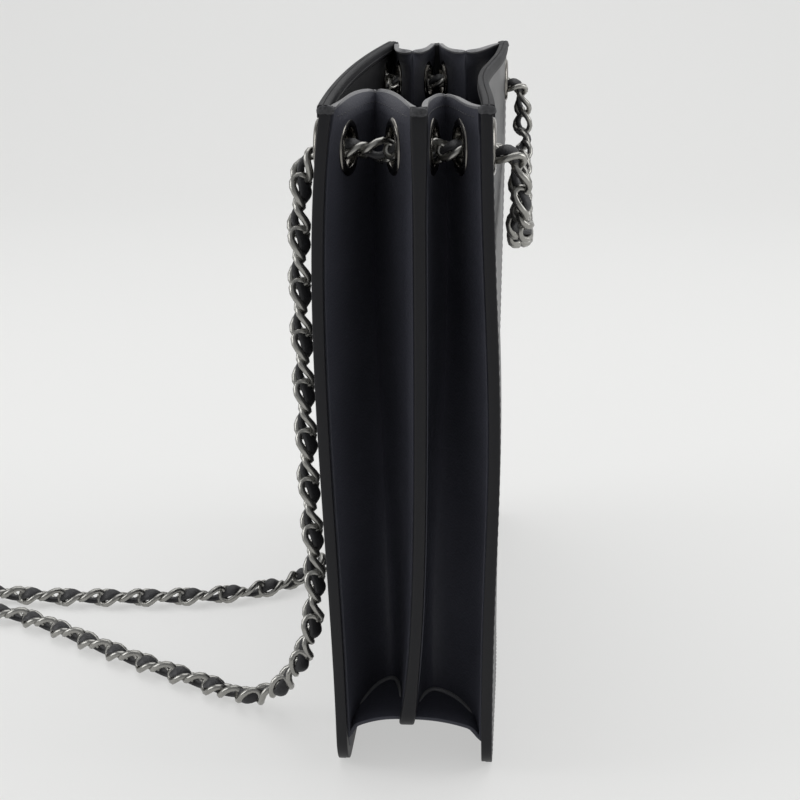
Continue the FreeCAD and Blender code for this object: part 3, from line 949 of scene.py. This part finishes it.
def scuffed_metal_group():
    """Cloudy tarnish and fine scuffs of a plated metal."""
    group, scuff_scale, puts_out = pattern_group("scuffed_metal", "Scuffs")
    scuffs = texture(group, "Noise", scuff_scale, Detail=8, Roughness=0.65)
    group.links.new(scuffs.outputs["Fac"], puts_out["Height"])
    clouds = texture(group, "Noise", 260, Detail=3)
    group.links.new(clouds.outputs["Fac"], puts_out["Shade"])
    return group


scuffed_metal = scuffed_metal_group()
eyelet_gunmetal = surface("eyelet_gunmetal", scuffed_metal, (0.17, 0.16, 0.148), (0.26, 0.25, 0.23),
                          roughness=(0.14, 0.24), bump=0.05, depth=0.0001, metallic=1.0)


def turned_ring(profile):
    """A profile spun round the Z axis."""
    bpy.ops.object.select_all(action="DESELECT")
    bpy.ops.mesh.primitive_circle_add(vertices=len(profile), radius=1, fill_type="NOTHING")
    ring = bpy.context.object
    for point, (radius, height) in zip(ring.data.vertices, profile):
        point.co = (radius, 0, height)
    bpy.ops.object.mode_set(mode="EDIT")
    bpy.ops.mesh.select_all(action="SELECT")
    bpy.ops.mesh.spin(steps=56, angle=math.radians(360), center=(0, 0, 0), axis=(0, 0, 1))
    bpy.ops.object.mode_set(mode="OBJECT")
    close_up(ring, doubles=0.00001)
    return ring


one_ring = turned_ring(ring_profile)
one_backing = turned_ring(backing_profile)


def fit_eyelets(name, ring_node, washer_node, places, wall):
    """Rings on the outside of the leather and washers on the inside, one pair at each place and facing."""
    ring_places = []
    backing_places = []
    for centre, facing in places:
        upright = Vector((0, 0, 1)).cross(facing)
        ring_places.append(frame_at(centre + facing * wall / 2, upright, facing))
        backing_places.append(frame_at(centre - facing * wall / 2, upright, -facing))
    rings = copies(f"{name}_ring", one_ring, ring_places)
    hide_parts(ring_node)
    backings = copies(f"{name}_washer_ring", one_backing, backing_places)
    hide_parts(washer_node)
    for piece in (rings, backings):
        piece.data.materials.append(eyelet_gunmetal)
        choose(piece)
        bpy.ops.object.shade_smooth_by_angle(angle=math.radians(40))
    return rings, backings


for side_name, side in sides.items():
    places = []
    for x in (-eyelet_x, eyelet_x):
        centre = Vector((x, panel_face(side, x, eyelet_z) - side * panel_thickness / 2, eyelet_z))
        places.append((centre, Vector((0, side, 0))))
    name = f"{side_name}_panel"
    for piece in fit_eyelets(f"{name}_eyelet", f"{name}_eyelets", f"{name}_washers", places, panel_thickness):
        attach(piece, name)

for end, side_name, half in pleat_names:
    centre, facing = across_at_eyelet(end, side_name, half)
    towards = end_pleat_point(end, side_name, half, 1, 0.07) - centre
    towards.x = 0
    if facing.dot(towards) < 0:
        facing = -facing
    name = f"{end}_{side_name}_{half}"
    places = [(centre, facing)]
    for piece in fit_eyelets(f"{name}_eyelet", f"{name}_eyelet", f"{name}_washer", places, leaf_thickness):
        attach(piece, name)
bpy.data.objects.remove(one_ring)
bpy.data.objects.remove(one_backing)

# Chain: one loop of twisted gunmetal curb links with a black leather ribbon woven through it.
# It is threaded through the eyelets of both ends, so a short swag hangs in front and a long
# shoulder loop behind, which hangs down the back and lies on the floor.
link_pitch = 0.01025
link_wire = 0.0029
link_half_length = 0.0065
link_half_width = 0.0042
link_twist = math.radians(-70)
link_rolls = (62, 118)
floor_gap = 0.0001
ribbon_reach = 0.0031
ribbon_half_width = 0.0032
ribbon_half_thickness = 0.0014
ribbon_leans = (128, 52)
ribbon_steps = 8
chain_z = 0.2503
front_swag = [
    (-0.128, -0.0405, 0.2348), (-0.128, -0.0405, 0.226), (-0.1195, -0.0408, 0.2178),
    (-0.096, -0.0406, 0.2113), (-0.066, -0.0403, 0.205), (-0.03, -0.0406, 0.1995),
    (0.01, -0.0408, 0.1975), (0.048, -0.0405, 0.2), (0.084, -0.0402, 0.2065),
    (0.106, -0.0405, 0.2125), (0.1195, -0.0408, 0.218), (0.128, -0.0405, 0.226),
    (0.128, -0.0405, 0.2348),
]
shoulder_loop = [
    (-0.128, 0.028, 0.2503), (-0.128, 0.037, 0.2503), (-0.128, 0.0424, 0.2429), (-0.128, 0.044, 0.229),
    (-0.128, 0.0446, 0.204), (-0.128, 0.0442, 0.163), (-0.1279, 0.0436, 0.12), (-0.1277, 0.0422, 0.09),
    (-0.1268, 0.042, 0.065), (-0.1232, 0.0456, 0.0445), (-0.1155, 0.0538, 0.0255), (-0.106, 0.0655, 0.0103),
    (-0.098, 0.082, 0.0052), (-0.086, 0.1, 0.0049), (-0.073, 0.123, 0.0048), (-0.053, 0.154, 0.0048),
    (-0.032, 0.182, 0.0048), (-0.015, 0.21, 0.0048), (-0.014, 0.239, 0.0048), (-0.027, 0.267, 0.0048),
    (-0.029, 0.298, 0.0048), (-0.009, 0.322, 0.0048), (0.021, 0.321, 0.0048), (0.038, 0.296, 0.0048),
    (0.031, 0.266, 0.0048), (0.013, 0.242, 0.0048), (0.0055, 0.213, 0.0048), (0.005, 0.176, 0.0048),
    (0.007, 0.14, 0.0048), (0.012, 0.106, 0.0048), (0.028, 0.076, 0.0048), (0.06, 0.06, 0.0048),
    (0.087, 0.0525, 0.006), (0.108, 0.048, 0.017), (0.121, 0.0455, 0.04), (0.1262, 0.044, 0.072),
    (0.1278, 0.043, 0.112), (0.128, 0.0426, 0.156), (0.128, 0.0434, 0.2), (0.128, 0.0432, 0.228),
    (0.128, 0.0424, 0.2429), (0.128, 0.037, 0.2503), (0.128, 0.028, 0.2503),
]


def threaded_run(x):
    return [(x, 0.0280, chain_z), (x, -0.0330, chain_z), (x, -0.0405, 0.2443), (x, -0.0405, 0.2348)]


def smooth_line(points):
    """Points along the smooth spline that a stretch of chain follows."""
    curve = bpy.data.curves.new("chain_line", "CURVE")
    curve.dimensions = "3D"
    curve.resolution_u = 24
    spline = curve.splines.new("NURBS")
    spline.points.add(len(points) - 1)
    for point, place in zip(spline.points, points):
        point.co = (*place, 1)
    spline.order_u = 3
    spline.use_endpoint_u = True
    line = bpy.data.objects.new("chain_line", curve)
    bpy.context.scene.collection.objects.link(line)
    mesh = bpy.data.meshes.new_from_object(line)
    read = [v.co.copy() for v in mesh.vertices]
    bpy.data.meshes.remove(mesh)
    bpy.data.objects.remove(line)
    bpy.data.curves.remove(curve)
    return read


def line_frames(read, towards, count):
    """Place, heading and facing at even steps along a line, the facing always towards one side."""
    lengths = [0.0]
    for a, b in zip(read, read[1:]):
        lengths.append(lengths[-1] + (b - a).length)
    frames = []
    segment = 0
    for i in range(count + 1):
        run = lengths[-1] * i / count
        while segment < len(read) - 2 and lengths[segment + 1] < run:
            segment += 1
        span = lengths[segment + 1] - lengths[segment]
        share = (run - lengths[segment]) / span if span else 0.0
        place = read[segment].lerp(read[segment + 1], share)
        before = read[max(0, segment - 1)]
        after = read[min(len(read) - 1, segment + 2)]
        heading = (after - before).normalized()
        facing = Vector(towards)
        facing = (facing - heading * facing.dot(heading)).normalized()
        frames.append((place, heading, facing))
    return frames


def wire_line(turn):
    """The middle of a link's wire, an oval whose two ends are twisted opposite ways."""
    bend = link_twist * math.cos(turn)
    y = link_half_width * math.sin(turn)
    return Vector((link_half_length * math.cos(turn), y * math.cos(bend), y * math.sin(bend)))


chain_gunmetal = surface("chain_gunmetal", scuffed_metal, (0.24, 0.236, 0.222), (0.40, 0.395, 0.372),
                         roughness=(0.22, 0.36), bump=0.08, depth=0.0001, metallic=1.0, scale=1300)
ribbon_leather = surface("ribbon_leather", leather_grain, (0.016, 0.016, 0.018), (0.034, 0.034, 0.037),
                         roughness=(0.45, 0.6), bump=0.35, depth=0.0004, scale=1800)
ring_radius = 0.005
bpy.ops.object.select_all(action="DESELECT")
bpy.ops.mesh.primitive_torus_add(major_segments=20, minor_segments=7,
                                 major_radius=ring_radius, minor_radius=link_wire / 2)
one_link = bpy.context.object
for point in one_link.data.vertices:
    turn = math.atan2(point.co.y, point.co.x)
    round_wire = math.atan2(point.co.z, math.hypot(point.co.x, point.co.y) - ring_radius)
    along = (wire_line(turn + 0.01) - wire_line(turn - 0.01)).normalized()
    out = wire_line(turn) - along * wire_line(turn).dot(along)
    out.normalize()
    from_middle = out * math.cos(round_wire) + along.cross(out) * math.sin(round_wire)
    point.co = wire_line(turn) + from_middle * link_wire / 2
close_up(one_link)


def chain_stretch(name, points, towards, weave_turn):
    """Links and ribbon along one stretch; weave_turn(share) says which side is over and how far it turns."""
    read = smooth_line(points)
    count = round(sum((b - a).length for a, b in zip(read, read[1:])) / link_pitch)
    links = []
    for i, (place, heading, facing) in enumerate(line_frames(read, towards, 2 * count)[1::2]):
        over, turned = weave_turn((i + 0.5) / count)
        lying = ease((facing.z - 0.40) / 0.4) * ease((0.03 - place.z) / 0.01)
        under_roll, over_roll = link_rolls if i % 2 == 0 else reversed(link_rolls)
        roll = (1 - lying) * (turned + under_roll + (over_roll - under_roll) * over)
        laid = frame_at(place, heading, facing) @ Matrix.Rotation(math.radians(roll), 4, "X")
        lowest = min((laid @ point.co).z for point in one_link.data.vertices)
        links.append(Matrix.Translation((0, 0, max(0.0, floor_gap - lowest))) @ laid)
    chain = copies(f"{name}_links", one_link, links)
    chain.data.materials.append(chain_gunmetal)
    rings = line_frames(read, towards, ribbon_steps * count)

    def on_ribbon(i, round_it):
        place, heading, facing = rings[i]
        over, turned = weave_turn(i / (ribbon_steps * count))
        under_lean, over_lean = ribbon_leans
        lean = math.radians(turned + under_lean + (over_lean - under_lean) * over)
        out = facing.cross(heading) * math.cos(lean) + facing * math.sin(lean)
        weave = math.cos(math.pi * (i / ribbon_steps - 0.5))
        reach = ribbon_reach * (0.1 + 0.9 * weave) + ribbon_half_thickness * math.cos(round_it)
        half_wide = ribbon_half_width * (0.75 + 0.25 * weave)
        return place + out * reach + heading.cross(out) * half_wide * math.sin(round_it)

    ribbon = laid_grid(f"{name}_ribbon_leather", range(len(rings)), spread(0, 2 * math.pi, 11), on_ribbon)
    close_up(ribbon, doubles=0.000005, fill_ends=True)
    bpy.ops.object.shade_smooth()
    ribbon.data.materials.append(ribbon_leather)
    return chain, ribbon, read


def halve(piece, name, keep_front):
    """Keeps the front or the back half of a threaded stretch, cut at the middle ridge."""
    half = piece.copy()
    half.data = piece.data.copy()
    half.name = name
    bpy.context.scene.collection.objects.link(half)
    choose(half)
    bpy.ops.object.mode_set(mode="EDIT")
    bpy.ops.mesh.select_all(action="SELECT")
    bpy.ops.mesh.bisect(plane_co=(0, 0, 0), plane_no=(0, 1, 0), use_fill=True,
                        clear_outer=keep_front, clear_inner=not keep_front)
    bpy.ops.object.mode_set(mode="OBJECT")
    return half


def threaded_weave(share):
    return 1, 0


def swag_weave(share):
    """The weave changes sides at the middle of the swag."""
    return 1 - ease((share - 0.5) / 0.1), 0


def shoulder_weave(share):
    """The weave changes sides on the floor, and back again, and is turned a little where the chain hangs."""
    over = 1 - ease((share - 0.215) / 0.04) + ease((share - 0.43) / 0.10)
    return over, -14 * (1 - ease((share - 0.17) / 0.05))


for end, edge in ends.items():
    x = edge * eyelet_x
    chain, ribbon, read = chain_stretch(f"{end}_threaded", threaded_run(x), (-1, 0, 0.5), threaded_weave)
    for whole, cad_node in ((chain, f"{end}_threaded_chain"), (ribbon, f"{end}_threaded_ribbon")):
        for side_name, side in sides.items():
            half = halve(whole, f"{whole.name}_{side_name}", side < 0)
            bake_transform(half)
            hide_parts(cad_node)
        bpy.data.objects.remove(whole)

swag, swag_ribbon, read = chain_stretch("front_swag", front_swag, (-1, -0.6, 0.3), swag_weave)
for piece, cad_node in ((swag, "front_chain"), (swag_ribbon, "front_ribbon")):
    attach(piece, "front_chain")
    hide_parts(cad_node)

loop, loop_ribbon, read = chain_stretch("shoulder_loop", shoulder_loop, (-1, 0, 0.35), shoulder_weave)
for piece, cad_node in ((loop, "shoulder_chain"), (loop_ribbon, "shoulder_ribbon")):
    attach(piece, "back_panel")
    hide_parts(cad_node)
bpy.data.objects.remove(one_link)

# Studio: a seamless pale sweep of paper under and behind the bag, with soft lamps overhead
# and at both sides, so that the end towards the camera stays dark.
paper_colour = (0.80, 0.80, 0.79, 1)
paper_glow = 0.57
glow_colour = (0.87, 0.87, 0.86, 1)
paper_near = -2.4
paper_flat = 3.6
paper_turn = 0.9
paper_length = 6.0
paper_half_width = 4
air_colour = (0.86, 0.87, 0.88, 1)
air_strength = 0.45


def paper_point(across, back):
    """A point of the paper, which lies flat, turns up behind the bag and goes on upright."""
    run = back * paper_length - paper_flat
    turn_x = paper_near + paper_flat
    angle = run / paper_turn
    if run < 0:
        return Vector((turn_x + run, across, 0))
    if angle < math.pi / 2:
        return Vector((turn_x + paper_turn * math.sin(angle), across, paper_turn * (1 - math.cos(angle))))
    return Vector((turn_x + paper_turn, across, paper_turn + run - paper_turn * math.pi / 2))


paper_across = spread(-paper_half_width, paper_half_width, 17)
sweep = laid_grid("paper_sweep", paper_across, spread(0, 1, 121), paper_point)
choose(sweep)
bpy.ops.object.shade_smooth()
paper = bpy.data.materials.new("pale_paper")
paper.use_nodes = True
tree = paper.node_tree
matte = tree.nodes["Principled BSDF"]
matte.inputs["Base Color"].default_value = paper_colour
matte.inputs["Roughness"].default_value = 0.7
glow = node(tree, "ShaderNodeEmission")
glow.inputs["Color"].default_value = glow_colour
rays = node(tree, "ShaderNodeLightPath")
seen = rays.outputs["Is Camera Ray"]
for ray in ("Is Glossy Ray", "Is Transmission Ray"):
    either = node(tree, "ShaderNodeMath", operation="MAXIMUM")
    tree.links.new(seen, either.inputs[0])
    tree.links.new(rays.outputs[ray], either.inputs[1])
    seen = either.outputs[0]
glow_share = node(tree, "ShaderNodeMath", operation="MULTIPLY")
glow_share.inputs[1].default_value = paper_glow
tree.links.new(seen, glow_share.inputs[0])
mixed = node(tree, "ShaderNodeMixShader")
tree.links.new(glow_share.outputs[0], mixed.inputs[0])
tree.links.new(matte.outputs[0], mixed.inputs[1])
tree.links.new(glow.outputs[0], mixed.inputs[2])
tree.links.new(mixed.outputs[0], tree.nodes["Material Output"].inputs["Surface"])
sweep.data.materials.append(paper)

world = bpy.data.worlds.new("studio_air")
bpy.context.scene.world = world
world.use_nodes = True
world.node_tree.nodes["Background"].inputs["Color"].default_value = air_colour
world.node_tree.nodes["Background"].inputs["Strength"].default_value = air_strength


def soft_lamp(name, place, target, size, power):
    lamp = bpy.data.lights.new(name, "AREA")
    lamp.shape = "RECTANGLE"
    lamp.size, lamp.size_y = size
    lamp.energy = power
    held = bpy.data.objects.new(name, lamp)
    held.location = place
    held.rotation_mode = "QUATERNION"
    held.rotation_quaternion = (Vector(target) - Vector(place)).to_track_quat("-Z", "Y")
    bpy.context.scene.collection.objects.link(held)


soft_lamp("overhead_softbox", place=(0.50, 0.0, 1.5), target=(0.10, 0, 0), size=(1.6, 1.6), power=12)
soft_lamp("left_softbox", place=(-0.2, 1.4, 0.7), target=(0, 0, 0.12), size=(0.9, 0.9), power=8)
soft_lamp("right_softbox", place=(0.1, -1.4, 0.7), target=(0, 0, 0.12), size=(0.9, 0.9), power=8)

# Camera: it looks along the bag from its left end, a little from above and with a slight tilt,
# as the photograph was taken. The focal length is worked out in pixels of the photograph's frame.
focal_pixels = 1620
frame_pixels = 800
camera_place = (-0.7401, -0.0431, 0.3356)
yaw = math.radians(4.58)
pitch = math.radians(16.679)
tilt = math.radians(-0.681)
camera = bpy.data.cameras.new("photo_camera")
camera.sensor_width = 36
camera.lens = focal_pixels / frame_pixels * camera.sensor_width
camera.clip_start = 0.01
held_camera = bpy.data.objects.new("photo_camera", camera)
bpy.context.scene.collection.objects.link(held_camera)
bpy.context.scene.camera = held_camera
ahead = Vector((math.cos(pitch) * math.cos(yaw), math.cos(pitch) * math.sin(yaw), -math.sin(pitch)))
level_right = ahead.cross(Vector((0, 0, 1))).normalized()
level_up = level_right.cross(ahead)
tilted_right = level_right * math.cos(tilt) + level_up * math.sin(tilt)
tilted_up = level_up * math.cos(tilt) - level_right * math.sin(tilt)
looking = Matrix((tilted_right, tilted_up, -ahead)).transposed().to_4x4()
held_camera.matrix_world = Matrix.Translation(camera_place) @ looking

bpy.context.view_layer.update()
